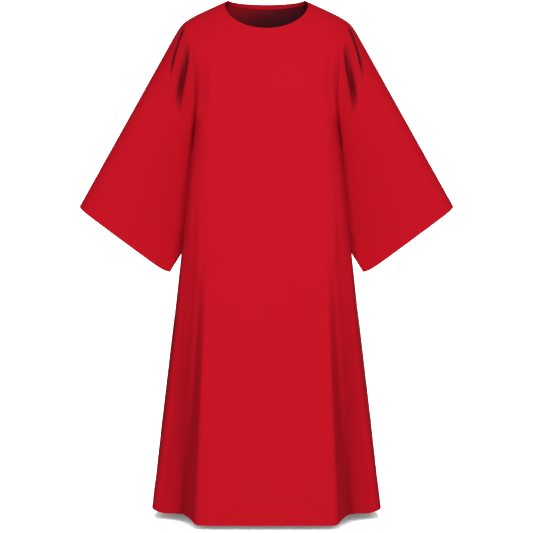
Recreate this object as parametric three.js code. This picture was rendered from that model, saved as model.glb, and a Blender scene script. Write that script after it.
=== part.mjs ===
// A dalmatic: a deacon's knee-length tunic of plain cloth with wide, open sleeves, standing hollow as it
// hangs on a wearer whose arms are held a little out from the sides. It is cut as a front, a back, two
// sleeves and a narrow facing turned to the inside of the neck.
// Millimetres, +Z up. The front faces -Y and the wearer's left is +X. The origin lies between the
// shoulders, at the height of the neck, where the wearer's shoulders carry the cloth.
import * as THREE from "three";

// Cloth and seams
const CLOTH = 2; // the wall, cloth with its turned seams
const SEAM_GAP = 0.4; // between two pieces that are sewn together
const ARMHOLE_GAP = 0.6; // how far a sleeve's end stands off sideways
const FACING_WIDTH = 12;
const FACING_CLOTH = 1;

// Heights
const HEM_Z = -1280;
const UNDERARM_Z = -312;
const NECK_POINT_Z = 5.8;
const COLLAR_BASE_Z = 38; // where the shoulder line would meet the middle of the neck

// Neck opening, as seen from the front
const NECK_HALF_WIDTH = 104.5;
const NECK_FRONT_Z = -75.5;
const NECK_SIDE_Z = -5.5;
const NECK_BACK_Z = 1.9;
const NECK_SIDE_SHARE = 0.82; // of the front neckline, from its middle to its widest place
const NECK_INTURN = 1.4; // how late it turns in from there to the neck point
const NECK_POINT_X = 96;

// Shoulder and armhole
const SHOULDER_TIP_X = 208.5;
const SHOULDER_SLOPE = 0.46;
const SHOULDER_DROOP = 6; // how far the shoulder line rounds down below its slope, at its tip
const SHOULDER_TIP_Z = NECK_POINT_Z - SHOULDER_SLOPE * (SHOULDER_TIP_X - NECK_POINT_X) - SHOULDER_DROOP;
const SHOULDER_Y = 10; // the shoulder seam at the neck
const TIP_Y = 4;
const UNDERARM_X = 178;
const UNDERARM_Y = 8;

// The two body panels above the underarm. depth is from the side seam to the middle of the panel,
// armholeDepth how far the armhole bows forward or back, scoop how far it is cut in.
const YOKE = {
  front: { way: -1, depth: 130, squareness: 6, armholeDepth: 78, scoop: 12 },
  back: { way: 1, depth: 104, squareness: 3.2, armholeDepth: 60, scoop: 4 },
};
const CHEST_FULLNESS = 0.2; // how far the chest and the shoulder blades swell past a plain arch
const UNDERARM_SPREAD = 2.6; // how gently the cloth comes forward out of the underarm
// Where, across and up, the cloth sweeps out into the sleeve
const SHOULDER_SWEEP = { from: 0.75, low: 0.2, high: 0.5 };

// Fold lines that run down each panel below the underarm, from the middle to the side seam. Each has its
// place at the underarm (x alone, for it lies on the chest there), the waist, the hip, the knee and the hem, as
// x and y, and how far the hem rises there.
const SECTION_SHARE = { chest: 0, waist: 0.2, hip: 0.4, knee: 0.67, hem: 1 };
const FOLD_LINES = {
  front: {
    middle: { chest: 0, waist: [0, -139], hip: [0, -164], knee: [0, -197], hem: [0, -236], rise: 0 },
    panel: { chest: 70, waist: [72, -139], hip: [75, -164], knee: [79.5, -197], hem: [85, -235.5], rise: 0 },
    flank: { chest: 114, waist: [118, -138.5], hip: [124, -163], knee: [134.5, -197], hem: [148, -233], rise: 0 },
    crest: { chest: 138, waist: [142, -137], hip: [146, -160], knee: [155.5, -196], hem: [168, -225], rise: 1 },
    wall: { chest: 145, waist: [149, -135.5], hip: [154, -155.5], knee: [164.5, -180], hem: [179, -204], rise: 8 },
    trough: { chest: 151, waist: [156, -133], hip: [162, -150.5], knee: [176.5, -153], hem: [197, -162], rise: 14 },
    ridge: { chest: 158, waist: [164, -130], hip: [171, -145], knee: [188.5, -139.5], hem: [213, -117], rise: 10 },
    dip: { chest: 165, waist: [172, -125], hip: [181, -135], knee: [202, -122], hem: [231, -98], rise: 8 },
    outer: { chest: 172, waist: [187, -113], hip: [197, -122.5], knee: [221.5, -102], hem: [257, -82], rise: 7 },
    side: { chest: 177, waist: [200, -75], hip: [212, -107], knee: [239.5, -87], hem: [279.5, -68], rise: 13 },
    seam: { chest: 178, waist: [177, 16], hip: [219, 12], knee: [252, 10], hem: [287, 8], rise: 17 },
  },
  back: {
    middle: { chest: 0, waist: [0, 127], hip: [0, 146], knee: [0, 172.5], hem: [0, 206], rise: 4 },
    panel: { chest: 70, waist: [72, 125], hip: [75, 144], knee: [81, 170.5], hem: [90, 203], rise: 4 },
    flank: { chest: 112, waist: [116, 115], hip: [122, 134], knee: [130, 160.5], hem: [140, 193], rise: 5 },
    crest: { chest: 136, waist: [141, 101], hip: [147, 120], knee: [155.5, 146], hem: [166, 178], rise: 6 },
    wall: { chest: 145, waist: [150, 93], hip: [157, 108], knee: [165.5, 126], hem: [176, 147], rise: 9 },
    trough: { chest: 153, waist: [159, 84], hip: [168, 96], knee: [179, 109], hem: [192, 124], rise: 12 },
    ridge: { chest: 161, waist: [168, 74], hip: [180, 88], knee: [197, 103.5], hem: [218, 122], rise: 11 },
    dip: { chest: 168, waist: [175, 62], hip: [192, 73], knee: [215, 83.5], hem: [243, 96], rise: 11 },
    outer: { chest: 174, waist: [181, 47], hip: [205, 56], knee: [234, 65.5], hem: [269, 77], rise: 13 },
    side: { chest: 177, waist: [182, 32], hip: [215, 36], knee: [247, 39], hem: [283, 42], rise: 15 },
    seam: { chest: 178, waist: [177, 16], hip: [219, 12], knee: [252, 10], hem: [287, 8], rise: 17 },
  },
};

// Sleeve: its upper edge lies along the arm, its lower edge hangs behind the body's side.
const CUFF_UPPER = new THREE.Vector3(472.5, 0, -517.5);
const CUFF_LOWER = new THREE.Vector3(247, 6, -685.5);
const UPPER_EDGE_START = new THREE.Vector3(213.9, 4, -52.6); // where the straight upper edge would begin
const TIP_ROUNDING = 0.02; // share of the sleeve over which the shoulder's tip rounds into it
const CUFF_CORNERS = { upper: 0.008, lower: 0.02 }; // shares of the sleeve cut away where the cuff rounds
const LOWER_EDGE = [
  { x: UNDERARM_X, y: UNDERARM_Y, z: UNDERARM_Z },
  { x: 183, y: 14, z: -343 },
  { x: 184.5, y: 21, z: -400 },
  { x: 186, y: 26, z: -490 },
  { x: 201, y: 25, z: -600 },
  { x: CUFF_LOWER.x, y: CUFF_LOWER.y, z: CUFF_LOWER.z },
];
// Half the sleeve's thickness at the arm and how much of it is lost at the lower edge, along the sleeve.
const SLEEVE_SECTIONS = [
  { share: 0, front: 78, frontTaper: 0, back: 60, backTaper: 0 },
  { share: 0.3, front: 67, frontTaper: 0.48, back: 62, backTaper: 0.35 },
  { share: 0.6, front: 63, frontTaper: 0.68, back: 62, backTaper: 0.5 },
  { share: 1, front: 56, frontTaper: 0.7, back: 55, backTaper: 0.5 },
];
// Folds that fan out from the shoulder's tip down the sleeve, as angles round the sleeve from its upper
// edge, positive to the front. A fold with a bend under 1 turns down early.
const SLEEVE_FOLDS = [
  { name: "upper crease", startAngle: 29, endAngle: 60, endShare: 0.2, bend: 1, width: 8, depth: 7 },
  { name: "front fold", startAngle: 56, endAngle: 96, endShare: 0.23, bend: 0.5, width: 11, depth: 15 },
  { name: "back fold", startAngle: -52, endAngle: -92, endShare: 0.24, bend: 0.6, width: 13, depth: 12 },
];
const RING_MIDDLE = 0.45; // where folds sink towards, from the upper edge to the lower

// Mesh
const SKIRT_ROWS = 15;
const ARMHOLE_ROWS = 12;
const SHOULDER_ROWS = 4;
const NECK_CROWDING = 1.25; // points lie closer together towards the ends of the neckline
const FRONT_HALF_COLUMNS = 20;
const BACK_HALF_COLUMNS = 16;
const SLEEVE_ROWS = 16;
const FRONT_SPLITS = 2; // sleeve columns for each armhole row, in front
const BACK_SPLITS = 1;

const RED = 0xc81628;

const mix = (a, b, share) => a + (b - a) * share;
const radians = (degrees) => (degrees * Math.PI) / 180;
const clamp01 = (x) => Math.min(1, Math.max(0, x));
const smooth = (x) => clamp01(x) ** 2 * (3 - 2 * clamp01(x));
const range = (count) => Array.from({ length: count }, (_, i) => i);
const mirrored = (point) => new THREE.Vector3(-point.x, point.y, point.z);

// A smooth curve through values at given shares that never overshoots them.
function throughKeys(shares, values, share, startSlope) {
  const slopes = shares.slice(1).map((s, i) => (values[i + 1] - values[i]) / (s - shares[i]));
  const tangents = values.map((_, i) => {
    if (i === 0) return startSlope ?? slopes[0];
    if (i === slopes.length) return slopes[i - 1];
    const [before, after] = [slopes[i - 1], slopes[i]];
    return before * after <= 0 ? 0 : (2 * before * after) / (before + after);
  });
  const i = Math.min(slopes.length - 1, Math.max(0, shares.findIndex((s) => s >= share) - 1));
  const width = shares[i + 1] - shares[i];
  const t = (share - shares[i]) / width;
  return (
    values[i] * (2 * t ** 3 - 3 * t ** 2 + 1) +
    tangents[i] * width * (t ** 3 - 2 * t ** 2 + t) +
    values[i + 1] * (3 * t ** 2 - 2 * t ** 3) +
    tangents[i + 1] * width * (t ** 3 - t ** 2)
  );
}

// A polyline's points again, count + 1 of them, evenly spaced along it.
function spacedEvenly(points, count) {
  const along = [0];
  points.slice(1).forEach((p, i) => along.push(along[i] + p.distanceTo(points[i])));
  let i = 0;
  return range(count + 1).map((k) => {
    const target = (along[along.length - 1] * k) / count;
    while (i < points.length - 2 && along[i + 1] < target) i += 1;
    return points[i].clone().lerp(points[i + 1], clamp01((target - along[i]) / (along[i + 1] - along[i])));
  });
}

// The armhole, from the shoulder's tip (angle 0) down to the underarm (angle pi).
function armhole(yoke, angle) {
  const down = (1 - Math.cos(angle)) / 2;
  return new THREE.Vector3(
    mix(SHOULDER_TIP_X, UNDERARM_X, down) - yoke.scoop * Math.sin(angle) ** 2,
    mix(TIP_Y, UNDERARM_Y, down) + yoke.way * yoke.armholeDepth * Math.sin(angle),
    mix(SHOULDER_TIP_Z, UNDERARM_Z, down),
  );
}

// The shoulder line's height, which slopes from the neck, rounds down at the tip and would round over inside
// the neck.
function shoulderHeight(x) {
  if (x >= NECK_POINT_X) {
    const out = (x - NECK_POINT_X) / (SHOULDER_TIP_X - NECK_POINT_X);
    return NECK_POINT_Z - SHOULDER_SLOPE * (x - NECK_POINT_X) - SHOULDER_DROOP * out ** 6;
  }
  const crown = COLLAR_BASE_Z - NECK_POINT_Z;
  return NECK_POINT_Z + crown * (1 - (x / NECK_POINT_X) ** 1.6);
}

// A body panel above the underarm: across is 0 in the middle and 1 at the armhole, up is 0 at the underarm
// and 1 on the shoulder line.
function yokePoint(yoke, across, up) {
  const ring = armhole(yoke, Math.PI * (1 - up));
  const x = across * ring.x;
  const { from, low, high } = SHOULDER_SWEEP;
  const square = (1 - across ** yoke.squareness) ** (1 / yoke.squareness);
  const swept = 1 - clamp01((across - from) / (1 - from)) ** 2;
  const fullness = mix(square, swept, smooth((up - low) / (high - low)));
  const rise = (1 - Math.cos(Math.PI * up)) / 2;
  const arch = Math.sqrt(Math.max(0, 1 - rise)) * (1 + CHEST_FULLNESS * rise);
  const spread = across < 1 ? 1 - Math.exp(-((up / (UNDERARM_SPREAD * (1 - across))) ** 2)) : 1;
  const bow = yoke.armholeDepth * Math.sin(Math.PI * up) * (1 - fullness) * spread;
  const seamY = mix(mix(SHOULDER_Y, TIP_Y, across), UNDERARM_Y, 1 - rise);
  return new THREE.Vector3(
    x,
    seamY + yoke.way * (yoke.depth * arch * fullness + bow),
    mix(UNDERARM_Z, shoulderHeight(across * SHOULDER_TIP_X), rise),
  );
}

// How high up the yoke a height lies, at one place across it.
function upAtHeight(yoke, x, z) {
  let [low, high] = [0, 1];
  for (let i = 0; i < 40; i += 1) {
    const up = (low + high) / 2;
    const across = x / armhole(yoke, Math.PI * (1 - up)).x;
    if (yokePoint(yoke, across, up).z < z) low = up;
    else high = up;
  }
  return (low + high) / 2;
}

// The neckline on the yoke, as across and up: share 0 is the middle of the panel, 1 the neck point. In front
// it is widest just below the neck point.
function neckline(yoke, share) {
  const [x, z] = yoke.way < 0 ? frontNeckline(share) : backNeckline(share);
  const up = share >= 1 ? 1 : upAtHeight(yoke, x, z);
  return { across: x / armhole(yoke, Math.PI * (1 - up)).x, up };
}

function frontNeckline(share) {
  const round = Math.min(1, share / NECK_SIDE_SHARE) * (Math.PI / 2);
  const past = Math.max(0, share - NECK_SIDE_SHARE) / (1 - NECK_SIDE_SHARE);
  const x = mix(NECK_HALF_WIDTH * Math.sin(round), NECK_POINT_X, past ** NECK_INTURN);
  return [x, mix(mix(NECK_FRONT_Z, NECK_SIDE_Z, 1 - Math.cos(round)), NECK_POINT_Z, past)];
}

function backNeckline(share) {
  const x = NECK_HALF_WIDTH * Math.sin(share * Math.asin(NECK_POINT_X / NECK_HALF_WIDTH));
  return [x, mix(NECK_BACK_Z, NECK_POINT_Z, (x / NECK_POINT_X) ** 3.2)];
}

// Half of one row of a body panel below the underarm, from the middle to the side seam.
function skirtHalfRow(side, share, columns) {
  const yoke = YOKE[side];
  const shares = Object.values(SECTION_SHARE);
  const lines = Object.values(FOLD_LINES[side]).map((line) => {
    const chest = yokePoint(yoke, line.chest / UNDERARM_X, 0);
    const archSlope = ((0.5 - CHEST_FULLNESS) * (chest.y - UNDERARM_Y)) / (COLLAR_BASE_Z - UNDERARM_Z);
    const flare = archSlope * (UNDERARM_Z - HEM_Z);
    const levels = [line.waist, line.hip, line.knee, line.hem];
    return new THREE.Vector3(
      throughKeys(shares, [chest.x, ...levels.map(([x]) => x)], share),
      throughKeys(shares, [chest.y, ...levels.map(([, y]) => y)], share, flare),
      mix(UNDERARM_Z, HEM_Z, share) + line.rise * share ** 2,
    );
  });
  const whole = [...lines.slice(1).reverse().map(mirrored), ...lines];
  const curve = new THREE.CatmullRomCurve3(whole, false, "centripetal");
  const spans = whole.length - 1;
  const dense = range(12 * (spans / 2) + 1).map((i) => curve.getPoint(0.5 + i / (12 * spans)));
  return spacedEvenly(dense, columns);
}

// Half rows of a body panel from the underarm to the neckline.
function yokeHalfRows(side, columns) {
  const yoke = YOKE[side];
  const rows = ARMHOLE_ROWS + SHOULDER_ROWS;
  const chestRow = spacedEvenly(
    range(200 + 1).map((i) => yokePoint(yoke, Math.sin((Math.PI / 2) * (i / 200)), 0)),
    columns,
  );
  const chest = chestRow.map((p) => ({ across: p.x / UNDERARM_X, up: 0 }));
  const neckShares = range(columns + 1).map((j) => 1 - (1 - j / columns) ** NECK_CROWDING);
  const neck = neckShares.map((share) => neckline(yoke, share));
  const edge = (i) =>
    i <= ARMHOLE_ROWS
      ? { across: 1, up: i / ARMHOLE_ROWS }
      : { across: mix(1, neck[columns].across, (i - ARMHOLE_ROWS) / SHOULDER_ROWS), up: 1 };
  return range(rows + 1).map((i) => {
    const w = i / rows;
    return range(columns + 1).map((j) => {
      const u = j / columns;
      const blend = (key) =>
        (1 - u) * neck[0][key] * (key === "up" ? w : 1) +
        u * edge(i)[key] +
        (1 - w) * chest[j][key] +
        w * neck[j][key] -
        ((1 - u) * w * neck[0][key] + u * (1 - w) * chest[columns][key] + u * w * neck[columns][key]);
      if (j === columns && i <= ARMHOLE_ROWS) return armhole(yoke, Math.PI * (1 - i / ARMHOLE_ROWS));
      return yokePoint(yoke, blend("across"), Math.min(1, blend("up")));
    });
  });
}

// A whole body panel as a grid of points, hem first, each row running so that the outside is on its right.
function bodyGrid(side, halfColumns) {
  const skirt = range(SKIRT_ROWS).map((i) => skirtHalfRow(side, 1 - i / SKIRT_ROWS, halfColumns));
  const rows = [...skirt, ...yokeHalfRows(side, halfColumns)];
  return rows.map((half) => {
    const whole = [...half.slice(1).reverse().map(mirrored), ...half];
    return YOKE[side].way < 0 ? whole : whole.reverse();
  });
}

// The sleeve on the wearer's left: length 0 is the armhole and 1 the cuff, angle is round from the upper edge.
function sleevePoint(length, angle) {
  const down = (1 - Math.cos(angle)) / 2;
  const corner = CUFF_CORNERS.lower * down ** 20 + CUFF_CORNERS.upper * (1 - down) ** 30;
  const share = length * (1 - corner * length ** 8);
  const tip = new THREE.Vector3(SHOULDER_TIP_X, TIP_Y, SHOULDER_TIP_Z);
  const rounding = Math.exp(-share / TIP_ROUNDING);
  const upper = UPPER_EDGE_START.clone().lerp(CUFF_UPPER, share);
  upper.add(tip.sub(UPPER_EDGE_START).multiplyScalar(rounding));
  const lower = lowerEdge.getPointAt(share);
  const shares = SLEEVE_SECTIONS.map((s) => s.share);
  const along = (key) => throughKeys(shares, SLEEVE_SECTIONS.map((s) => s[key]), share);
  const yoke = Math.sin(angle) >= 0 ? YOKE.front : YOKE.back;
  const half = yoke.way < 0 ? "front" : "back";
  const thickness = along(half) * (1 - along(`${half}Taper`) * down);
  const point = upper.clone().lerp(lower, down);
  point.y += yoke.way * thickness * Math.abs(Math.sin(angle));
  point.x -= yoke.scoop * Math.sin(angle) ** 2 * (1 - share) ** 8;
  const middle = upper.clone().lerp(lower, RING_MIDDLE);
  return point.add(middle.sub(point).normalize().multiplyScalar(foldDepth(share, angle)));
}
const lowerEdge = new THREE.CatmullRomCurve3(LOWER_EDGE.map((p) => new THREE.Vector3(p.x, p.y, p.z)));

function foldDepth(share, angle) {
  const turned = angle > Math.PI ? angle - 2 * Math.PI : angle;
  return SLEEVE_FOLDS.reduce((sum, fold) => {
    const reach = share / fold.endShare;
    if (reach >= 1) return sum;
    const centre = radians(mix(fold.startAngle, fold.endAngle, reach ** fold.bend));
    const off = (turned - centre) / radians(fold.width);
    const swell = smooth(reach * 2.2) * smooth((1 - reach) * 1.6);
    return sum + fold.depth * swell * Math.exp(-(off ** 2));
  }, 0);
}

// The sleeve as a grid, armhole first. At the armhole its points lie on the straight stretches between the
// points of the body's armhole.
function sleeveGrid() {
  const angles = [];
  range(ARMHOLE_ROWS).forEach((k) =>
    range(FRONT_SPLITS).forEach((s) => angles.push((Math.PI * (k + s / FRONT_SPLITS)) / ARMHOLE_ROWS)),
  );
  range(ARMHOLE_ROWS).forEach((k) =>
    range(BACK_SPLITS).forEach((s) => angles.push(Math.PI + (Math.PI * (k + s / BACK_SPLITS)) / ARMHOLE_ROWS)),
  );
  const armholeRow = angles.map((angle) => {
    const place = (angle / Math.PI) * ARMHOLE_ROWS;
    const onRing = (k) =>
      k <= ARMHOLE_ROWS
        ? armhole(YOKE.front, (Math.PI * k) / ARMHOLE_ROWS)
        : armhole(YOKE.back, Math.PI * (2 - k / ARMHOLE_ROWS));
    const [before, after] = [Math.floor(place + 1e-9), Math.ceil(place - 1e-9)];
    return onRing(before).lerp(onRing(after), after > before ? place - before : 0);
  });
  const shares = range(SLEEVE_ROWS + 1).map((i) => (i / SLEEVE_ROWS) ** 1.15);
  return [armholeRow, ...shares.slice(1).map((share) => angles.map((angle) => sleevePoint(share, angle)))];
}

const keyOf = (p) => [p.x, p.y, p.z].map((v) => Math.round(v * 1000)).join(" ");

// Outward directions by point, for pieces whose surfaces run into each other.
function outwardDirections(panels) {
  const sums = new Map();
  const add = (p, n) => sums.set(keyOf(p), (sums.get(keyOf(p)) || new THREE.Vector3()).add(n));
  for (const { grid, closed, flipped } of panels) {
    const columns = grid[0].length;
    const last = closed ? columns : columns - 1;
    for (let i = 0; i < grid.length - 1; i += 1)
      for (let j = 0; j < last; j += 1) {
        const next = (j + 1) % columns;
        const [a, b, c, d] = [grid[i][j], grid[i][next], grid[i + 1][next], grid[i + 1][j]];
        const n = c.clone().sub(a).cross(d.clone().sub(b)).normalize();
        if (flipped) n.negate();
        [a, b, c, d].forEach((p) => add(p, n));
      }
  }
  sums.forEach((n) => n.normalize());
  return sums;
}

// Where a sleeve turns away from the body, as over the shoulder, both walls end on one mitre.
function mitreArmhole(sleeve, onSleeve, onBody) {
  const [ring, next] = sleeve.grid;
  ring.forEach((p, j) => {
    const body = onBody.get(keyOf(p));
    if (!body) return;
    const own = onSleeve.get(keyOf(p));
    const share = clamp01(-10 * next[j].clone().sub(p).normalize().dot(body));
    const before = body.clone();
    body.addScaledVector(own, share).normalize();
    own.addScaledVector(before, share).normalize();
  });
  ring.forEach((p, j) => {
    if (onBody.has(keyOf(p))) return;
    const sides = [ring[j - 1], ring[j + 1]].map((side) => onSleeve.get(keyOf(side)));
    onSleeve.get(keyOf(p)).addVectors(...sides).normalize();
  });
}

// A closed wall between an outer and an inner grid of points.
function wallGeometry(outer, inner, closed, flipped) {
  const [rows, columns] = [outer.length, outer[0].length];
  const positions = [...outer.flat(), ...inner.flat()].flatMap((p) => [p.x, p.y, p.z]);
  const index = [];
  const at = (layer, i, j) => layer * rows * columns + i * columns + (j % columns);
  const quad = (a, b, c, d) => index.push(...(flipped ? [a, c, b, a, d, c] : [a, b, c, a, c, d]));
  const last = closed ? columns : columns - 1;
  for (let j = 0; j < last; j += 1) {
    for (let i = 0; i < rows - 1; i += 1) {
      quad(at(0, i, j), at(0, i, j + 1), at(0, i + 1, j + 1), at(0, i + 1, j));
      quad(at(1, i, j), at(1, i + 1, j), at(1, i + 1, j + 1), at(1, i, j + 1));
    }
    quad(at(1, 0, j), at(1, 0, j + 1), at(0, 0, j + 1), at(0, 0, j));
    quad(at(0, rows - 1, j), at(0, rows - 1, j + 1), at(1, rows - 1, j + 1), at(1, rows - 1, j));
  }
  if (!closed)
    for (let i = 0; i < rows - 1; i += 1) {
      quad(at(0, i, 0), at(0, i + 1, 0), at(1, i + 1, 0), at(1, i, 0));
      quad(at(0, i, last), at(1, i, last), at(1, i + 1, last), at(0, i + 1, last));
    }
  return new THREE.BufferGeometry()
    .setAttribute("position", new THREE.Float32BufferAttribute(positions, 3))
    .setIndex(index);
}

// Leaves the gap at the seams: a sleeve's end moves out sideways, and both ends of a body panel's row are
// drawn back along it.
function leaveSeamGap(grid, closed) {
  const drawBack = (end, next) => end.add(next.clone().sub(end).normalize().multiplyScalar(SEAM_GAP / 2));
  if (closed) grid[0].forEach((p) => (p.x += Math.sign(p.x) * ARMHOLE_GAP));
  else
    grid.forEach((row) => {
      drawBack(row[0], row[1]);
      drawBack(row[row.length - 1], row[row.length - 2]);
    });
}

function clothMesh(name, geometry) {
  geometry.computeVertexNormals();
  const material = new THREE.MeshStandardMaterial({ color: RED, roughness: 0.85, metalness: 0 });
  material.name = name;
  const mesh = new THREE.Mesh(geometry, material);
  mesh.name = name;
  return mesh;
}

function panelMesh({ name, grid, closed, flipped }, outward) {
  const inner = grid.map((row) => row.map((p) => p.clone().addScaledVector(outward.get(keyOf(p)), -CLOTH)));
  const outer = grid.map((row) => row.map((p) => p.clone()));
  [outer, inner].forEach((layer) => leaveSeamGap(layer, closed));
  return clothMesh(name, wallGeometry(outer, inner, closed, flipped));
}

// The facing: a narrow ring that lies inside the neck edge of both body panels.
function facingMesh(name, panels, directions) {
  const ring = [];
  panels.forEach(({ grid }) => {
    const top = grid.length - 1;
    grid[top].slice(0, -1).forEach((edge, j) => {
      const outward = directions.get(keyOf(edge));
      const down = grid[top - 1][j].clone().sub(edge);
      down.sub(outward.clone().multiplyScalar(down.dot(outward))).normalize();
      ring.push({ edge, outward, down });
    });
  });
  const layer = (depth) =>
    [FACING_WIDTH, 0].map((width) =>
      ring.map(({ edge, outward, down }) =>
        edge.clone().addScaledVector(outward, -depth).addScaledVector(down, width),
      ),
    );
  const outerDepth = CLOTH + SEAM_GAP;
  return clothMesh(name, wallGeometry(layer(outerDepth), layer(outerDepth + FACING_CLOTH), true, false));
}

const leftSleeve = sleeveGrid();
const body = [
  { name: "front", grid: bodyGrid("front", FRONT_HALF_COLUMNS), closed: false, flipped: false },
  { name: "back", grid: bodyGrid("back", BACK_HALF_COLUMNS), closed: false, flipped: false },
];
const sleeves = [
  { name: "sleeve_left", grid: leftSleeve, closed: true, flipped: false },
  { name: "sleeve_right", grid: leftSleeve.map((row) => row.map(mirrored)), closed: true, flipped: true },
];
const onBody = outwardDirections(body);

const dalmatic = new THREE.Group();
dalmatic.name = "dalmatic";
const sleeveMeshes = sleeves.map((sleeve) => {
  const onSleeve = outwardDirections([sleeve]);
  mitreArmhole(sleeve, onSleeve, onBody);
  return panelMesh(sleeve, onSleeve);
});
dalmatic.add(...body.map((panel) => panelMesh(panel, onBody)), ...sleeveMeshes);
dalmatic.add(facingMesh("neck_facing", body, onBody));

export default dalmatic;
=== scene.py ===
"""Looks for a red dalmatic that stands hollow, as it hangs on a wearer.

Every piece of cloth is a thin shell on the form of its solid. The forms are worked out from the same
measures as the solids, in millimetres, on finer grids, and the finer folds, hems and seams are added here.
"""
import math

import bpy
import numpy as np
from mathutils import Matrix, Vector


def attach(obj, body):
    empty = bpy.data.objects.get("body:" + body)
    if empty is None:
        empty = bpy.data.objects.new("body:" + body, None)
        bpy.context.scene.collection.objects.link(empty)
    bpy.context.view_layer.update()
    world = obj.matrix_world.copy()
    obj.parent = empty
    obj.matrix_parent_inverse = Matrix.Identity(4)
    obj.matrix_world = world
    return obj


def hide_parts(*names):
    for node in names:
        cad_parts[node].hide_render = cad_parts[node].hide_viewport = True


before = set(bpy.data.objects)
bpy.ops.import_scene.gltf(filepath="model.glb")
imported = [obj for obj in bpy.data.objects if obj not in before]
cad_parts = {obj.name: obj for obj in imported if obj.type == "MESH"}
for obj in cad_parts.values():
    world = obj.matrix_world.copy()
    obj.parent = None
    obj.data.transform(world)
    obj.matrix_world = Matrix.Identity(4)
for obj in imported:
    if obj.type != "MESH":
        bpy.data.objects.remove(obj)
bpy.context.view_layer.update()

MM = 0.001
MIRROR = np.array([-1, 1, 1])

# Heights and widths, in millimetres
HEM_Z = -1280
UNDERARM_Z = -312
NECK_POINT_Z = 5.8
COLLAR_BASE_Z = 38
NECK_HALF_WIDTH = 104.5
NECK_FRONT_Z = -75.5
NECK_SIDE_Z = -5.5
NECK_BACK_Z = 1.9
NECK_SIDE_SHARE = 0.82
NECK_INTURN = 1.4
NECK_POINT_X = 96
SHOULDER_TIP_X = 208.5
SHOULDER_SLOPE = 0.46
SHOULDER_DROOP = 6
SHOULDER_TIP_Z = NECK_POINT_Z - SHOULDER_SLOPE * (SHOULDER_TIP_X - NECK_POINT_X) - SHOULDER_DROOP
SHOULDER_Y = 10
TIP_Y = 4
UNDERARM_X = 178
UNDERARM_Y = 8
CHEST_FULLNESS = 0.2
UNDERARM_SPREAD = 2.6
SWEEP_FROM, SWEEP_LOW, SWEEP_HIGH = 0.75, 0.2, 0.5
NECK_CROWDING = 1.25
DROOP_POWER, CROWN_POWER, NECK_BACK_POWER = 6, 1.6, 3.2

# Each half of the yoke: the way it bulges, its depth, how square its plan is, the armhole's depth and its
# scoop towards the neck
YOKE = {
    "front": dict(way=-1, depth=130, squareness=6, armhole=78, scoop=12),
    "back": dict(way=1, depth=104, squareness=3.2, armhole=60, scoop=4),
}

# Fold lines down each panel, from the middle to the side seam: place at the underarm (x), rise of the hem,
# then x and y at the waist, at the hip, at the knee and at the hem.
LEVELS = [0, 0.2, 0.4, 0.67, 1]
FOLD_LINES = {
    "front": {
        "middle": (0, 0, 0, -139, 0, -164, 0, -197, 0, -236),
        "panel": (70, 0, 72, -139, 75, -164, 79.5, -197, 85, -235.5),
        "flank": (114, 0, 118, -138.5, 124, -163, 134.5, -197, 148, -233),
        "crest": (138, 1, 142, -137, 146, -160, 155.5, -196, 168, -225),
        "wall": (145, 8, 149, -135.5, 154, -155.5, 164.5, -180, 179, -204),
        "trough": (151, 14, 156, -133, 162, -150.5, 176.5, -153, 197, -162),
        "ridge": (158, 10, 164, -130, 171, -145, 188.5, -139.5, 213, -117),
        "dip": (165, 8, 172, -125, 181, -135, 202, -122, 231, -98),
        "outer": (172, 7, 187, -113, 197, -122.5, 221.5, -102, 257, -82),
        "side": (177, 13, 200, -75, 212, -107, 239.5, -87, 279.5, -68),
        "seam": (178, 17, 177, 16, 219, 12, 252, 10, 287, 8),
    },
    "back": {
        "middle": (0, 4, 0, 127, 0, 146, 0, 172.5, 0, 206),
        "panel": (70, 4, 72, 125, 75, 144, 81, 170.5, 90, 203),
        "flank": (112, 5, 116, 115, 122, 134, 130, 160.5, 140, 193),
        "crest": (136, 6, 141, 101, 147, 120, 155.5, 146, 166, 178),
        "wall": (145, 9, 150, 93, 157, 108, 165.5, 126, 176, 147),
        "trough": (153, 12, 159, 84, 168, 96, 179, 109, 192, 124),
        "ridge": (161, 11, 168, 74, 180, 88, 197, 103.5, 218, 122),
        "dip": (168, 11, 175, 62, 192, 73, 215, 83.5, 243, 96),
        "outer": (174, 13, 181, 47, 205, 56, 234, 65.5, 269, 77),
        "side": (177, 15, 182, 32, 215, 36, 247, 39, 283, 42),
        "seam": (178, 17, 177, 16, 219, 12, 252, 10, 287, 8),
    },
}

# The sleeve on the wearer's left, from its upper edge (angle 0) round the front to its lower edge (angle pi)
CUFF_UPPER = np.array([472.5, 0, -517.5])
CUFF_LOWER = np.array([247, 6, -685.5])
# How far each corner of the cuff is rounded off, as a share of the sleeve, and how tightly round and along it
CUFF_CORNERS = {"upper": (0.008, 30), "lower": (0.02, 20)}
CUFF_ROUNDING, SCOOP_FADE = 8, 8
UPPER_EDGE_START = np.array([213.9, 4, -52.6])
SHOULDER_TIP = np.array([SHOULDER_TIP_X, TIP_Y, SHOULDER_TIP_Z])
TIP_ROUNDING = 0.02
LOWER_EDGE = np.array(
    [
        (UNDERARM_X, UNDERARM_Y, UNDERARM_Z),
        (183, 14, -343),
        (184.5, 21, -400),
        (186, 26, -490),
        (201, 25, -600),
        tuple(CUFF_LOWER),
    ],
    dtype=float,
)
SLEEVE_SHARES = [0, 0.3, 0.6, 1]
SLEEVE_THICKNESS = {"front": [78, 67, 63, 56], "back": [60, 62, 62, 55]}
SLEEVE_TAPER = {"front": [0, 0.48, 0.68, 0.7], "back": [0, 0.35, 0.5, 0.5]}
RING_MIDDLE = 0.45
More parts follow.
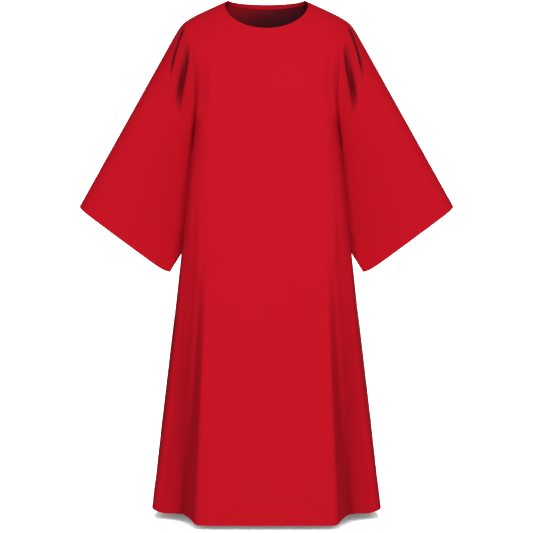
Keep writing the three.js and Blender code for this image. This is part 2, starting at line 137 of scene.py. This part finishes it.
# Creases at the sleeve's head: start angle, end angle, end share, bend, width on the upper side, width on
# the lower side (all angles in degrees), depth, share of the light kept out of the bottom
SLEEVE_FOLDS = [
    (29, 60, 0.2, 1.1, 3.7, 3.4, 13, 1),
    (56, 96, 0.23, 0.45, 10, 5.5, 22, 0.7),
    (-52, -92, 0.24, 0.6, 12, 8, 14, 0.5),
]

# How fast a fold deepens from the armhole, how deep it starts there and how fast it ends, and the same for
# its shade, which is this much wider than the fold
FOLD_SWELL, SHADE_SWELL = (2.6, 0.12, 1.6), (6, 0.3, 2.2)
SHADE_SPREAD = 1.35
# Shade on the lower part of the sleeve and along its lower edge, where it hangs against the body: from
# which share of the way down, over how much of it, and how deep
LOWER_SHADES = [(0.6, 0.35, 0.09), (0.9, 0.09, 0.56)]
LOWER_SHADE_END, LOWER_SHADE_FADE = 0.92, 5
# Shade inside the body, and the light that falls through the neck on the inside of the back: how bright it
# is at a place near the neck's right side, how fast it fades to the left and downwards, its least and most
INNER_SHADE = 0.55
NECK_LIGHT, NECK_LIGHT_ACROSS, NECK_LIGHT_DOWN = 0.49, 0.0016, 0.006
NECK_LIGHT_X, NECK_LIGHT_Z = -72, -10
NECK_LIGHT_RANGE = (0.12, 0.56)
NECK_LIGHT_POWER = 2.2
NECK_LIGHT_END_Z, NECK_LIGHT_FADE = -170, 90

# Grids
HALF_COLUMNS = {"front": 110, "back": 90}
SKIRT_ROWS = 120
ARMHOLE_ROWS = 72
SHOULDER_ROWS = 24
SLEEVE_ROWS = 130
SLEEVE_CROWDING = 1.15
SLEEVE_SPLITS = 2
SPAN_STEPS, EDGE_STEPS, CHEST_STEPS, NECK_HALVINGS = 40, 200, 2001, 40

# Cloth, hems, facing and thread, in millimetres: thicknesses, the hem's width with the step at its top edge,
# and the facing's lines by their distance from the neck edge
CLOTH = 0.9
HEM_WIDTH = 28
HEM_STEP = (27.6, 28.4)
HEM_CLOTH = 2.0
SLEEVE_LENGTH = 530
FACING_CLOTH, FACING_GAP = 0.8, 0.15
FACING_LINES = [12, 9, 6, 3, 0.6, 0.1]
STITCH_LENGTH, STITCH_PITCH, STITCH_RADIUS, STITCH_LIFT = 2.3, 3.0, 0.2, 0.08
STITCH_SIDES = 6
HEM_STITCH = HEM_WIDTH - 2
NECK_STITCH = 10
WEAVE_SCALE = 420

# Colours of the cloth's right side, its wrong side made darker as painted shade inside the garment, the
# painted shade in its creases and depths, and the thread's two ends
RIGHT_SIDE = (0.60, 0.006, 0.018)
WRONG_SIDE_IN_PAINTED_SHADE = (0.36, 0.0065, 0.014)
IN_SHADE = (0.028, 0.006, 0.0095)
THREAD_DARK, THREAD_LIGHT = (0.5, 0.005, 0.015), (0.62, 0.008, 0.02)
COLOUR_CHANGE, ROUGHNESS_CHANGE = 0.045, 0.06


def mix(a, b, share):
    return a + (b - a) * share


def smooth(x):
    x = np.clip(x, 0, 1)
    return x * x * (3 - 2 * x)


def bell(x):
    return np.exp(-x * x)


def through_keys(shares, values, share, start_slope=None):
    """A smooth curve through values at given shares that never overshoots them."""
    shares, values, share = (np.asarray(a, float) for a in (shares, values, share))
    slopes = np.diff(values) / np.diff(shares)
    tangents = np.empty(len(values))
    tangents[0] = slopes[0] if start_slope is None else start_slope
    tangents[-1] = slopes[-1]
    for i in range(1, len(slopes)):
        a, b = slopes[i - 1], slopes[i]
        tangents[i] = 0 if a * b <= 0 else 2 * a * b / (a + b)
    i = np.clip(np.searchsorted(shares, share) - 1, 0, len(slopes) - 1)
    width = shares[i + 1] - shares[i]
    t = (share - shares[i]) / width
    return (
        values[i] * (2 * t**3 - 3 * t**2 + 1)
        + tangents[i] * width * (t**3 - 2 * t**2 + t)
        + values[i + 1] * (3 * t**2 - 2 * t**3)
        + tangents[i + 1] * width * (t**3 - t**2)
    )


def catmull_rom(points, steps):
    """A centripetal Catmull-Rom curve through points, steps to a span."""
    points = np.asarray(points, float)
    ends = [2 * points[0] - points[1], *points, 2 * points[-1] - points[-2]]
    out = []
    t = np.linspace(0, 1, steps, endpoint=False)[:, None]
    for a, b, c, d in zip(ends, ends[1:], ends[2:], ends[3:]):
        r, s, u = (max(np.linalg.norm(q - p), 1e-6) ** 0.5 for p, q in ((a, b), (b, c), (c, d)))
        start = ((b - a) / r - (c - a) / (r + s) + (c - b) / s) * s
        end = ((c - b) / s - (d - b) / (s + u) + (d - c) / u) * s
        out.append(
            b * (2 * t**3 - 3 * t**2 + 1)
            + start * (t**3 - 2 * t**2 + t)
            + c * (3 * t**2 - 2 * t**3)
            + end * (t**3 - t**2)
        )
    out.append(points[-1:])
    return np.concatenate(out)


def lengths_along(points):
    """How far along a polyline each of its points lies."""
    return np.concatenate([[0], np.cumsum(np.linalg.norm(np.diff(points, axis=0), axis=1))])


def values_at(places, along, values):
    """Values given at points along a line, worked out at other places along it."""
    return np.stack([np.interp(places, along, values[:, k]) for k in range(values.shape[1])], axis=-1)


def spaced(points, count):
    """A polyline's points again, count + 1 of them, evenly spaced along it."""
    along = lengths_along(points)
    return values_at(np.linspace(0, along[-1], count + 1), along, points)


def armhole(side, angle):
    """The armhole, from the shoulder's tip (angle 0) down to the underarm (angle pi)."""
    yoke = YOKE[side]
    angle = np.asarray(angle, float)
    down = (1 - np.cos(angle)) / 2
    return np.stack(
        [
            mix(SHOULDER_TIP_X, UNDERARM_X, down) - yoke["scoop"] * np.sin(angle) ** 2,
            mix(TIP_Y, UNDERARM_Y, down) + yoke["way"] * yoke["armhole"] * np.sin(angle),
            mix(SHOULDER_TIP_Z, UNDERARM_Z, down),
        ],
        axis=-1,
    )


def shoulder_height(x):
    out = np.maximum(x - NECK_POINT_X, 0)
    droop = SHOULDER_DROOP * (out / (SHOULDER_TIP_X - NECK_POINT_X)) ** DROOP_POWER
    outside = NECK_POINT_Z - SHOULDER_SLOPE * out - droop
    crown = COLLAR_BASE_Z - NECK_POINT_Z
    inside = NECK_POINT_Z + crown * (1 - np.clip(x / NECK_POINT_X, 0, 1) ** CROWN_POWER)
    return np.where(x >= NECK_POINT_X, outside, inside)


def yoke_point(side, across, up):
    """A body panel above the underarm: across is 1 at the armhole, up is 1 on the shoulder line."""
    yoke = YOKE[side]
    across = np.clip(np.asarray(across, float), 0, 1)
    up = np.clip(np.asarray(up, float), 0, 1)
    x = across * armhole(side, math.pi * (1 - up))[..., 0]
    n = yoke["squareness"]
    square = (1 - across**n) ** (1 / n)
    swept = 1 - np.clip((across - SWEEP_FROM) / (1 - SWEEP_FROM), 0, 1) ** 2
    fullness = mix(square, swept, smooth((up - SWEEP_LOW) / (SWEEP_HIGH - SWEEP_LOW)))
    rise = (1 - np.cos(math.pi * up)) / 2
    arch = np.sqrt(np.clip(1 - rise, 0, 1)) * (1 + CHEST_FULLNESS * rise)
    spread = 1 - np.exp(-((up / (UNDERARM_SPREAD * np.maximum(1 - across, 1e-9))) ** 2))
    bow = yoke["armhole"] * np.sin(math.pi * up) * (1 - fullness) * spread
    seam_y = mix(mix(SHOULDER_Y, TIP_Y, across), UNDERARM_Y, 1 - rise)
    y = seam_y + yoke["way"] * (yoke["depth"] * arch * fullness + bow)
    return np.stack([x, y, mix(UNDERARM_Z, shoulder_height(across * SHOULDER_TIP_X), rise)], axis=-1)


def neckline(side, share):
    """The neckline on the yoke as across and up: share 0 is the middle of the panel, 1 the neck point."""
    share = np.asarray(share, float)
    if side == "front":
        turn = np.minimum(1, share / NECK_SIDE_SHARE) * (math.pi / 2)
        past = np.maximum(0, share - NECK_SIDE_SHARE) / (1 - NECK_SIDE_SHARE)
        x = mix(NECK_HALF_WIDTH * np.sin(turn), NECK_POINT_X, past**NECK_INTURN)
        z = mix(mix(NECK_FRONT_Z, NECK_SIDE_Z, 1 - np.cos(turn)), NECK_POINT_Z, past)
    else:
        x = NECK_HALF_WIDTH * np.sin(share * math.asin(NECK_POINT_X / NECK_HALF_WIDTH))
        z = mix(NECK_BACK_Z, NECK_POINT_Z, (x / NECK_POINT_X) ** NECK_BACK_POWER)
    low, high = np.zeros_like(x), np.ones_like(x)
    for _ in range(NECK_HALVINGS):
        up = (low + high) / 2
        across = x / armhole(side, math.pi * (1 - up))[..., 0]
        below = yoke_point(side, across, up)[..., 2] < z
        low, high = np.where(below, up, low), np.where(below, high, up)
    up = np.where(share >= 1, 1, (low + high) / 2)
    return x / armhole(side, math.pi * (1 - up))[..., 0], up


def skirt_half_rows(side, columns):
    """Half rows below the underarm, the hem first, from the middle to the side seam."""
    step = (np.array(HEM_STEP) / (UNDERARM_Z - HEM_Z)).tolist()
    shares = 1 - np.sort(np.concatenate([np.arange(SKIRT_ROWS) / SKIRT_ROWS, step]))
    z = mix(UNDERARM_Z, HEM_Z, shares)
    lines = []
    for chest_x, hem_rise, *places in FOLD_LINES[side].values():
        chest = yoke_point(side, chest_x / UNDERARM_X, 0)
        arch_slope = (0.5 - CHEST_FULLNESS) * (chest[1] - UNDERARM_Y) / (COLLAR_BASE_Z - UNDERARM_Z)
        flare = arch_slope * (UNDERARM_Z - HEM_Z)
        x = through_keys(LEVELS, [chest[0], *places[0::2]], shares)
        y = through_keys(LEVELS, [chest[1], *places[1::2]], shares, flare)
        lines.append(np.stack([x, y, z + hem_rise * shares**2], axis=-1))
    lines = np.array(lines)
    rows = []
    for i in range(len(shares)):
        half = lines[:, i]
        whole = np.concatenate([half[:0:-1] * MIRROR, half])
        dense = catmull_rom(whole, SPAN_STEPS)
        rows.append(spaced(dense[len(dense) // 2 :], columns))
    return np.array(rows)


def yoke_half_rows(side, columns):
    """Half rows from the underarm up to the neckline, blended between the edges of the half panel."""
    rows = ARMHOLE_ROWS + SHOULDER_ROWS
    across = np.sin(np.linspace(0, math.pi / 2, CHEST_STEPS))
    chest = spaced(yoke_point(side, across, np.zeros_like(across)), columns)
    chest_across = chest[:, 0] / UNDERARM_X
    neck_across, neck_up = neckline(side, 1 - (1 - np.linspace(0, 1, columns + 1)) ** NECK_CROWDING)
    i = np.arange(rows + 1)
    on_shoulder = np.clip((i - ARMHOLE_ROWS) / SHOULDER_ROWS, 0, 1)
    edge = {"across": mix(1, neck_across[-1], on_shoulder), "up": np.minimum(i / ARMHOLE_ROWS, 1)}
    chest_row = {"across": chest_across, "up": np.zeros(columns + 1)}
    neck_row = {"across": neck_across, "up": neck_up}
    w = (i / rows)[:, None]
    u = np.linspace(0, 1, columns + 1)[None, :]
    blended = {}
    for key in ("across", "up"):
        middle = neck_row[key][0] * (w if key == "up" else 1)
        corners = (
            (1 - u) * w * neck_row[key][0]
            + u * (1 - w) * chest_row[key][-1]
            + u * w * neck_row[key][-1]
        )
        blended[key] = (
            (1 - u) * middle + u * edge[key][:, None] + (1 - w) * chest_row[key] + w * neck_row[key] - corners
        )
    return yoke_point(side, blended["across"], blended["up"])


def body_grid(side):
    """A whole body panel, hem first, each row running so that the outside is on its right."""
    columns = HALF_COLUMNS[side]
    half = np.concatenate([skirt_half_rows(side, columns), yoke_half_rows(side, columns)])
    whole = np.concatenate([half[:, :0:-1] * MIRROR, half], axis=1)
    return whole if side == "front" else whole[:, ::-1]


def fold_depth(share, angle, shading=False):
    """Depth of the folds at the sleeve's head, or how far their bottoms lie in shade."""
    turned = np.where(angle > math.pi, angle - 2 * math.pi, angle)
    total = np.zeros(np.broadcast(share, angle).shape)
    deepening, beginning, ending = SHADE_SWELL if shading else FOLD_SWELL
    spread = SHADE_SPREAD if shading else 1
    for start, end, end_share, bend, upper_width, lower_width, depth, dark in SLEEVE_FOLDS:
        reach = np.clip(share / end_share, 0, 1)
        off = (turned - np.radians(mix(start, end, reach**bend))) * (1 if start > 0 else -1)
        swell = smooth(reach * deepening + beginning) * smooth((1 - reach) * ending)
        across = bell(off / np.radians(np.where(off < 0, upper_width, lower_width) * spread))
        total += (dark if shading else depth) * swell * across
    return total


def sleeve_grid():
    """The sleeve on the wearer's left, armhole first; angle is round it from its upper edge."""
    columns = ARMHOLE_ROWS * SLEEVE_SPLITS
    half = math.pi * np.arange(columns) / columns
    angle = np.concatenate([half, half + math.pi])[None, :]
    step = 1 - np.array(HEM_STEP) / SLEEVE_LENGTH
    rows = np.linspace(0, 1, SLEEVE_ROWS + 1) ** SLEEVE_CROWDING
    length = np.sort(np.concatenate([rows, step]))[:, None]
    down = (1 - np.cos(angle)) / 2
    (upper_cut, upper_power), (lower_cut, lower_power) = CUFF_CORNERS["upper"], CUFF_CORNERS["lower"]
    corner = lower_cut * down**lower_power + upper_cut * (1 - down) ** upper_power
    share = length * (1 - corner * length**CUFF_ROUNDING)
    lower_curve = catmull_rom(LOWER_EDGE, EDGE_STEPS)
    along = lengths_along(lower_curve)
    lower = values_at(share * along[-1], along, lower_curve)
    upper = mix(UPPER_EDGE_START, CUFF_UPPER, share[..., None])
    upper = upper + (SHOULDER_TIP - UPPER_EDGE_START) * np.exp(-share / TIP_ROUNDING)[..., None]
    is_front = np.sin(angle) >= -1e-12
    thick = {
        side: through_keys(SLEEVE_SHARES, SLEEVE_THICKNESS[side], share)
        * (1 - through_keys(SLEEVE_SHARES, SLEEVE_TAPER[side], share) * down)
        for side in ("front", "back")
    }
    point = mix(upper, lower, down[..., None])
    bulge = np.abs(np.sin(angle))
    point[..., 1] += np.where(is_front, -thick["front"], thick["back"]) * bulge
    scoop = np.where(is_front, YOKE["front"]["scoop"], YOKE["back"]["scoop"])
    point[..., 0] -= scoop * bulge**2 * (1 - share) ** SCOOP_FADE
    middle = mix(upper, lower, RING_MIDDLE)
    inward = middle - point
    inward /= np.linalg.norm(inward, axis=-1, keepdims=True)
    point += inward * fold_depth(share, angle)[..., None]
    shade = fold_depth(share, angle, shading=True)
    lower_shade = sum(level * smooth((down - start) / width) for start, width, level in LOWER_SHADES)
    fade = smooth(share * LOWER_SHADE_FADE) * smooth((LOWER_SHADE_END - share) * LOWER_SHADE_FADE)
    shade += lower_shade * fade
    return point, shade


def normals_of(grid, closed):
    """Outward directions of a grid of points, by its rows and columns."""
    if closed:
        along = np.roll(grid, -1, axis=1) - np.roll(grid, 1, axis=1)
    else:
        along = np.gradient(grid, axis=1)
    up = np.gradient(grid, axis=0)
    n = np.cross(along, up)
    return n / np.maximum(np.linalg.norm(n, axis=-1, keepdims=True), 1e-9)


def arc_lengths(grid, closed):
    """Distances along each row from its middle, and up each column from its start, for the weave."""
    step = np.linalg.norm(np.diff(grid, axis=1), axis=-1)
    u = np.concatenate([np.zeros((len(grid), 1)), np.cumsum(step, axis=1)], axis=1)
    if not closed:
        u -= u[:, [grid.shape[1] // 2]]
    rise = np.linalg.norm(np.diff(grid, axis=0), axis=-1).mean(axis=1)
    v = np.concatenate([[0], np.cumsum(rise)])[:, None] * np.ones((1, grid.shape[1]))
    return u, v


def distance_from(grid, row):
    """How far each point lies from a row of the grid, measured down its column."""
    steps = np.linalg.norm(np.diff(grid, axis=0), axis=-1)
    along = np.concatenate([np.zeros((1, grid.shape[1])), np.cumsum(steps, axis=0)])
    return np.abs(along - along[row])


def turned_hem(grid, row):
    """The cloth's thickness with its edge turned up inside."""
    return np.where(distance_from(grid, row) < HEM_WIDTH, HEM_CLOTH, CLOTH)


def cloth_piece(
    name, node, grid, closed, thickness, flipped=False, wrong_side_in_shade=True, shade=0, inner_shade=INNER_SHADE
):
    """A closed thin shell on a grid of points in millimetres; thickness may differ from point to point.

    A piece may show the cloth's wrong side within, in a darker colour that is painted shade. The painted
    shades, outside and inside, are kept with the mesh.
    """
    rows, columns = grid.shape[:2]
    out = normals_of(grid, closed)
    if flipped:
        out = -out
    inner = grid - out * np.broadcast_to(thickness, grid.shape[:2])[..., None]
    points = np.concatenate([grid.reshape(-1, 3), inner.reshape(-1, 3)]) * MM
    size = rows * columns
    i, j = np.meshgrid(np.arange(rows - 1), np.arange(columns if closed else columns - 1), indexing="ij")
    a = (i * columns + j).ravel()
    b = (i * columns + (j + 1) % columns).ravel()
    c, d = b + columns, a + columns
    faces = [np.stack([a, b, c, d], 1), np.stack([a, d, c, b], 1) + size]
    outside_faces = len(a)
    j = np.arange(columns if closed else columns - 1)
    for row, order in ((0, 1), (rows - 1, -1)):
        p = row * columns + j
        q = row * columns + (j + 1) % columns
        ring = np.stack([p + size, q + size, q, p], 1)
        faces.append(ring[:, ::order])
    if not closed:
        i = np.arange(rows - 1)
        for column, order in ((0, 1), (columns - 1, -1)):
            p = i * columns + column
            q = p + columns
            faces.append(np.stack([p, q, q + size, p + size], 1)[:, ::order])
    faces = np.concatenate(faces)
    if flipped:
        faces = faces[:, ::-1]
    mesh = bpy.data.meshes.new(name)
    mesh.from_pydata(points.tolist(), [], faces.tolist())
    u, v = arc_lengths(grid, closed)
    uv = np.concatenate([np.stack([u, v], -1).reshape(-1, 2)] * 2) * MM
    layer = mesh.uv_layers.new(name="cloth")
    layer.data.foreach_set("uv", uv[faces.ravel()].astype(np.float32).ravel())
    both = [np.broadcast_to(level, grid.shape[:2]).ravel() for level in (shade, inner_shade)]
    shades = mesh.attributes.new("shade", "FLOAT", "POINT")
    shades.data.foreach_set("value", np.concatenate(both).astype(np.float32))
    mesh.polygons.foreach_set("use_smooth", [True] * len(mesh.polygons))
    side = np.zeros(len(faces), dtype=np.int32)
    if wrong_side_in_shade:
        side[outside_faces : 2 * outside_faces] = 1
    mesh.polygons.foreach_set("material_index", side)
    mesh.set_sharp_from_angle(angle=math.radians(50))
    mesh.update()
    piece = bpy.data.objects.new(name, mesh)
    bpy.context.scene.collection.objects.link(piece)
    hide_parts(node)
    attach(piece, "root")
    return piece


def cloth_material(name, colour, roughness):
    """Plain-woven cloth: two sets of threads, slubs, slow random changes of tone and roughness, and painted
    shade from the mesh's shade attribute.
    """
    material = bpy.data.materials.new(name)
    material.use_nodes = True
    nodes, links = material.node_tree.nodes, material.node_tree.links
    shader = nodes["Principled BSDF"]
    shader.inputs["Specular IOR Level"].default_value = 0.06
    uv = nodes.new("ShaderNodeUVMap")
    uv.uv_map = "cloth"

    def noise(scale, detail, stretch=(1, 1, 1)):
        spread = nodes.new("ShaderNodeMapping")
        spread.inputs["Scale"].default_value = stretch
        texture = nodes.new("ShaderNodeTexNoise")
        texture.inputs["Scale"].default_value = scale
        texture.inputs["Detail"].default_value = detail
        links.new(uv.outputs["UV"], spread.inputs["Vector"])
        links.new(spread.outputs["Vector"], texture.inputs["Vector"])
        return texture.outputs["Fac"]

    def threads(direction):
        wave = nodes.new("ShaderNodeTexWave")
        wave.bands_direction = direction
        wave.inputs["Scale"].default_value = WEAVE_SCALE
        wave.inputs["Distortion"].default_value = 0.6
        wave.inputs["Detail"].default_value = 1
        links.new(uv.outputs["UV"], wave.inputs["Vector"])
        return wave.outputs["Fac"]

    def combine(operation, a, b):
        node = nodes.new("ShaderNodeMath")
        node.operation = operation
        for socket, value in zip(node.inputs, (a, b)):
            if isinstance(value, (int, float)):
                socket.default_value = value
            else:
                links.new(value, socket)
        return node.outputs[0]

    def ramp(fac, low, high):
        node = nodes.new("ShaderNodeValToRGB")
        node.color_ramp.elements[0].color = (*low, 1)
        node.color_ramp.elements[1].color = (*high, 1)
        links.new(fac, node.inputs["Fac"])
        return node.outputs["Color"]

    weave = combine("MULTIPLY", threads("X"), threads("Y"))
    slub = noise(260, 2, (1, 0.08, 1))
    shade = combine("ADD", combine("MULTIPLY", noise(7, 3), 0.6), combine("MULTIPLY", slub, 0.4))
    dark = tuple(c * (1 - COLOUR_CHANGE) for c in colour)
    light = tuple(c * (1 + COLOUR_CHANGE) for c in colour)
    # Painted shade: the mesh's shade attribute darkens the colour towards IN_SHADE in the sleeves' creases,
    # along their lower edges and inside the body.
    deep = nodes.new("ShaderNodeAttribute")
    deep.attribute_name = "shade"
    painted_shade_mix = nodes.new("ShaderNodeMix")
    painted_shade_mix.data_type = "RGBA"
    painted_shade_mix.inputs["B"].default_value = (*IN_SHADE, 1)
    links.new(deep.outputs["Fac"], painted_shade_mix.inputs["Factor"])
    links.new(ramp(shade, dark, light), painted_shade_mix.inputs["A"])
    links.new(painted_shade_mix.outputs["Result"], shader.inputs["Base Color"])
    rough = ramp(noise(11, 2), (roughness - ROUGHNESS_CHANGE,) * 3, (roughness + ROUGHNESS_CHANGE,) * 3)
    links.new(rough, shader.inputs["Roughness"])
    bump = nodes.new("ShaderNodeBump")
    bump.inputs["Strength"].default_value = 0.25
    bump.inputs["Distance"].default_value = 0.0003
    links.new(combine("ADD", weave, combine("MULTIPLY", slub, 0.5)), bump.inputs["Height"])
    links.new(bump.outputs["Normal"], shader.inputs["Normal"])
    return material


def shade_below_neck(grid):
    """How far the light that falls through the neck leaves the inside of the back in shade."""
    x, z = grid[..., 0], grid[..., 2]
    level = NECK_LIGHT - NECK_LIGHT_ACROSS * (x - NECK_LIGHT_X) + NECK_LIGHT_DOWN * (z - NECK_LIGHT_Z)
    seen = 1 - (np.clip(level, *NECK_LIGHT_RANGE) / NECK_LIGHT_RANGE[1]) ** NECK_LIGHT_POWER
    return mix(INNER_SHADE, seen, smooth((z - NECK_LIGHT_END_Z) / NECK_LIGHT_FADE))


def facing_grid(panels):
    """The facing, as a ring inside the neck edge of both panels."""
    rings = []
    for grid in panels:
        out = normals_of(grid, False)
        edge, outward = grid[-1, :-1], out[-1, :-1]
        down = grid[-4, :-1] - edge
        down -= outward * np.sum(down * outward, axis=-1, keepdims=True)
        down /= np.linalg.norm(down, axis=-1, keepdims=True)
        rings.append((edge, outward, down))
    edge, outward, down = (np.concatenate([r[k] for r in rings]) for k in range(3))
    return np.array([edge - outward * (CLOTH + FACING_GAP) + down * width for width in FACING_LINES])


def line_at(grid, row, distance, closed, flipped=False):
    """The line on a grid at one distance from a row, with the cloth's outward directions along it."""
    out = normals_of(grid, closed) * (-1 if flipped else 1)
    far = distance_from(grid, row)
    nearest = np.argmin(np.abs(far - distance), axis=0)
    columns = np.arange(grid.shape[1])
    step = np.where((far[nearest, columns] < distance) == (row == 0), 1, -1)
    other = np.clip(nearest + step, 0, len(grid) - 1)
    a, b = far[nearest, columns], far[other, columns]
    t = ((distance - a) / np.where(b == a, 1, b - a))[:, None]
    return mix(grid[nearest, columns], grid[other, columns], t), out[nearest, columns]


def stitch_row(lines):
    """Small spindles of thread laid end to end along lines on the cloth."""
    turns = np.linspace(0, 2 * math.pi, STITCH_SIDES, False)
    points_each = STITCH_SIDES + 2
    verts, faces = [], []
    for points, outward in lines:
        along = lengths_along(points)
        starts = np.arange(STITCH_PITCH, along[-1] - STITCH_LENGTH, STITCH_PITCH)
        head = values_at(starts, along, points)
        tail = values_at(starts + STITCH_LENGTH, along, points)
        up = values_at(starts, along, outward)
        up /= np.linalg.norm(up, axis=1, keepdims=True)
        side = np.cross(tail - head, up)
        side /= np.linalg.norm(side, axis=1, keepdims=True)
        middle = (head + tail) / 2 + up * STITCH_LIFT
        ring = [middle + STITCH_RADIUS * (math.cos(a) * up + math.sin(a) * side) for a in turns]
        spindle = np.stack([head, *ring, tail], axis=1)
        base = len(verts)
        verts.extend((spindle.reshape(-1, 3) * MM).tolist())
        for first in range(base, len(verts), points_each):
            last = first + points_each - 1
            for i in range(STITCH_SIDES):
                a, b = first + 1 + i, first + 1 + (i + 1) % STITCH_SIDES
                faces.append((first, b, a))
                faces.append((last, a, b))
    mesh = bpy.data.meshes.new("stitching")
    mesh.from_pydata(verts, [], faces)
    mesh.polygons.foreach_set("use_smooth", [True] * len(mesh.polygons))
    piece = bpy.data.objects.new("stitching", mesh)
    bpy.context.scene.collection.objects.link(piece)
    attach(piece, "root")
    return piece


def thread_material():
    """Matt sewing thread, twisted, a little uneven in shade."""
    material = bpy.data.materials.new("red thread")
    material.use_nodes = True
    nodes, links = material.node_tree.nodes, material.node_tree.links
    shader = nodes["Principled BSDF"]
    shader.inputs["Specular IOR Level"].default_value = 0.1
    shader.inputs["Roughness"].default_value = 0.7
    place = nodes.new("ShaderNodeTexCoord")
    texture = nodes.new("ShaderNodeTexNoise")
    texture.inputs["Scale"].default_value = 900
    links.new(place.outputs["Object"], texture.inputs["Vector"])
    shades = nodes.new("ShaderNodeValToRGB")
    shades.color_ramp.elements[0].color = (*THREAD_DARK, 1)
    shades.color_ramp.elements[1].color = (*THREAD_LIGHT, 1)
    links.new(texture.outputs["Fac"], shades.inputs["Fac"])
    links.new(shades.outputs["Color"], shader.inputs["Base Color"])
    bump = nodes.new("ShaderNodeBump")
    bump.inputs["Strength"].default_value = 0.3
    bump.inputs["Distance"].default_value = 0.0002
    links.new(texture.outputs["Fac"], bump.inputs["Height"])
    links.new(bump.outputs["Normal"], shader.inputs["Normal"])
    return material


front_grid = body_grid("front")
back_grid = body_grid("back")
left_grid, sleeve_shade = sleeve_grid()
right_grid = left_grid * MIRROR
neck_shade = shade_below_neck(back_grid)
body_hems = turned_hem(front_grid, 0), turned_hem(back_grid, 0)
cuff = turned_hem(left_grid, -1)
ring = facing_grid([front_grid, back_grid])

front = cloth_piece("front_cloth", "front", front_grid, False, body_hems[0])
back = cloth_piece("back_cloth", "back", back_grid, False, body_hems[1], inner_shade=neck_shade)
sleeve_left = cloth_piece("sleeve_left_cloth", "sleeve_left", left_grid, True, cuff, shade=sleeve_shade)
sleeve_right = cloth_piece(
    "sleeve_right_cloth", "sleeve_right", right_grid, True, cuff, flipped=True, shade=sleeve_shade
)
neck_facing = cloth_piece(
    "neck_facing_cloth", "neck_facing", ring, True, FACING_CLOTH, wrong_side_in_shade=False, inner_shade=0
)
stitching = stitch_row(
    [
        line_at(front_grid, 0, HEM_STITCH, False),
        line_at(back_grid, 0, HEM_STITCH, False),
        line_at(left_grid, -1, HEM_STITCH, True),
        line_at(right_grid, -1, HEM_STITCH, True, flipped=True),
        line_at(front_grid, -1, NECK_STITCH, False),
        line_at(back_grid, -1, NECK_STITCH, False),
    ]
)
outside = cloth_material("red cloth", RIGHT_SIDE, 0.85)
# The wrong side is darker than the right side: painted shade inside the garment.
inside = cloth_material("red cloth, wrong side in painted shade", WRONG_SIDE_IN_PAINTED_SHADE, 0.92)
stitching.data.materials.append(thread_material())

for piece in (front, back, sleeve_left, sleeve_right, neck_facing):
    piece.data.materials.append(outside)
    piece.data.materials.append(inside)

# Floor and backdrop in metres: pale paper, which only the camera sees, a bright apron round the floor and a
# wall round that
FLOOR_Z = -1.292
FLOOR_RADIUS, WALL_RADIUS, WALL_HEIGHT = 2.8, 9, 9
SEGMENTS = 96


def ring_at(radius, z):
    turns = np.linspace(0, 2 * math.pi, SEGMENTS, False)
    return [(radius * math.cos(a), radius * math.sin(a), z) for a in turns]


def band(first):
    """Faces between one ring of points and the next, which starts SEGMENTS points later."""
    pairs = [(first + i, first + (i + 1) % SEGMENTS) for i in range(SEGMENTS)]
    return [(a, b, b + SEGMENTS, a + SEGMENTS) for a, b in pairs]


def paper(name, verts, faces, glow):
    """Pale paper; glow is the light that it gives of itself."""
    mesh = bpy.data.meshes.new(name)
    mesh.from_pydata(verts, [], faces)
    mesh.polygons.foreach_set("use_smooth", [True] * len(mesh.polygons))
    sheet = bpy.data.objects.new(name, mesh)
    bpy.context.scene.collection.objects.link(sheet)
    sheet.visible_diffuse = False
    sheet.visible_glossy = False
    material = bpy.data.materials.new(name)
    material.use_nodes = True
    shader = material.node_tree.nodes["Principled BSDF"]
    shader.inputs["Base Color"].default_value = (0.9, 0.9, 0.9, 1)
    shader.inputs["Roughness"].default_value = 0.9
    shader.inputs["Specular IOR Level"].default_value = 0
    shader.inputs["Emission Color"].default_value = (1, 1, 1, 1)
    shader.inputs["Emission Strength"].default_value = glow
    sheet.data.materials.append(material)
    return sheet


floor_edge = ring_at(FLOOR_RADIUS, FLOOR_Z)
apron_edge = ring_at(WALL_RADIUS, FLOOR_Z)
wall_top = ring_at(WALL_RADIUS, FLOOR_Z + WALL_HEIGHT)
floor = paper("floor", floor_edge, [tuple(range(SEGMENTS))], 0.14)
backdrop = paper("backdrop", floor_edge + apron_edge + wall_top, band(0) + band(SEGMENTS), 1.0)
backdrop.visible_shadow = False


def area_light(name, place, target, size, power, lights):
    """A soft panel of light on one collection."""
    data = bpy.data.lights.new(name, "AREA")
    data.shape = "RECTANGLE"
    data.size, data.size_y = size
    data.energy = power
    light = bpy.data.objects.new(name, data)
    light.location = place
    light.rotation_euler = (Vector(target) - Vector(place)).to_track_quat("-Z", "Y").to_euler()
    bpy.context.scene.collection.objects.link(light)
    light.light_linking.receiver_collection = lights


def lit_group(name, objects):
    """A collection that lights can be kept to."""
    group = bpy.data.collections.new(name)
    for thing in objects:
        group.objects.link(thing)
    return group


garment = lit_group("garment", [front, back, sleeve_left, sleeve_right, neck_facing, stitching])
setting = lit_group("setting", [floor, backdrop])
world = bpy.data.worlds.new("studio")
bpy.context.scene.world = world
world.use_nodes = True
sky = world.node_tree.nodes["Background"]
sky.inputs["Color"].default_value = (1, 1, 1, 1)
sky.inputs["Strength"].default_value = 0.2
area_light("front panel", (0.12, -5.0, 0.85), (0, 0, -0.6), (2.2, 2.2), 219, garment)
area_light("backdrop wash", (0, -2.5, 4.5), (0, 0.6, -1.3), (3, 3), 1400, setting)
area_light("floor wash", (0, -5.0, 0.9), (0, 0, -1.0), (6, 4.2), 1100, setting)
area_light("back panel", (1.6, 4.8, 1.4), (0, 0, -0.6), (2.2, 2.2), 170, garment)

camera_data = bpy.data.cameras.new("camera")
camera_data.sensor_width = 36
camera_data.lens = 107.3
camera = bpy.data.objects.new("camera", camera_data)
camera.location = (0, -4.0, -0.665)
camera.rotation_euler = (math.pi / 2, 0, 0)
bpy.context.scene.collection.objects.link(camera)
bpy.context.scene.camera = camera
bpy.context.scene.view_settings.view_transform = "Standard"
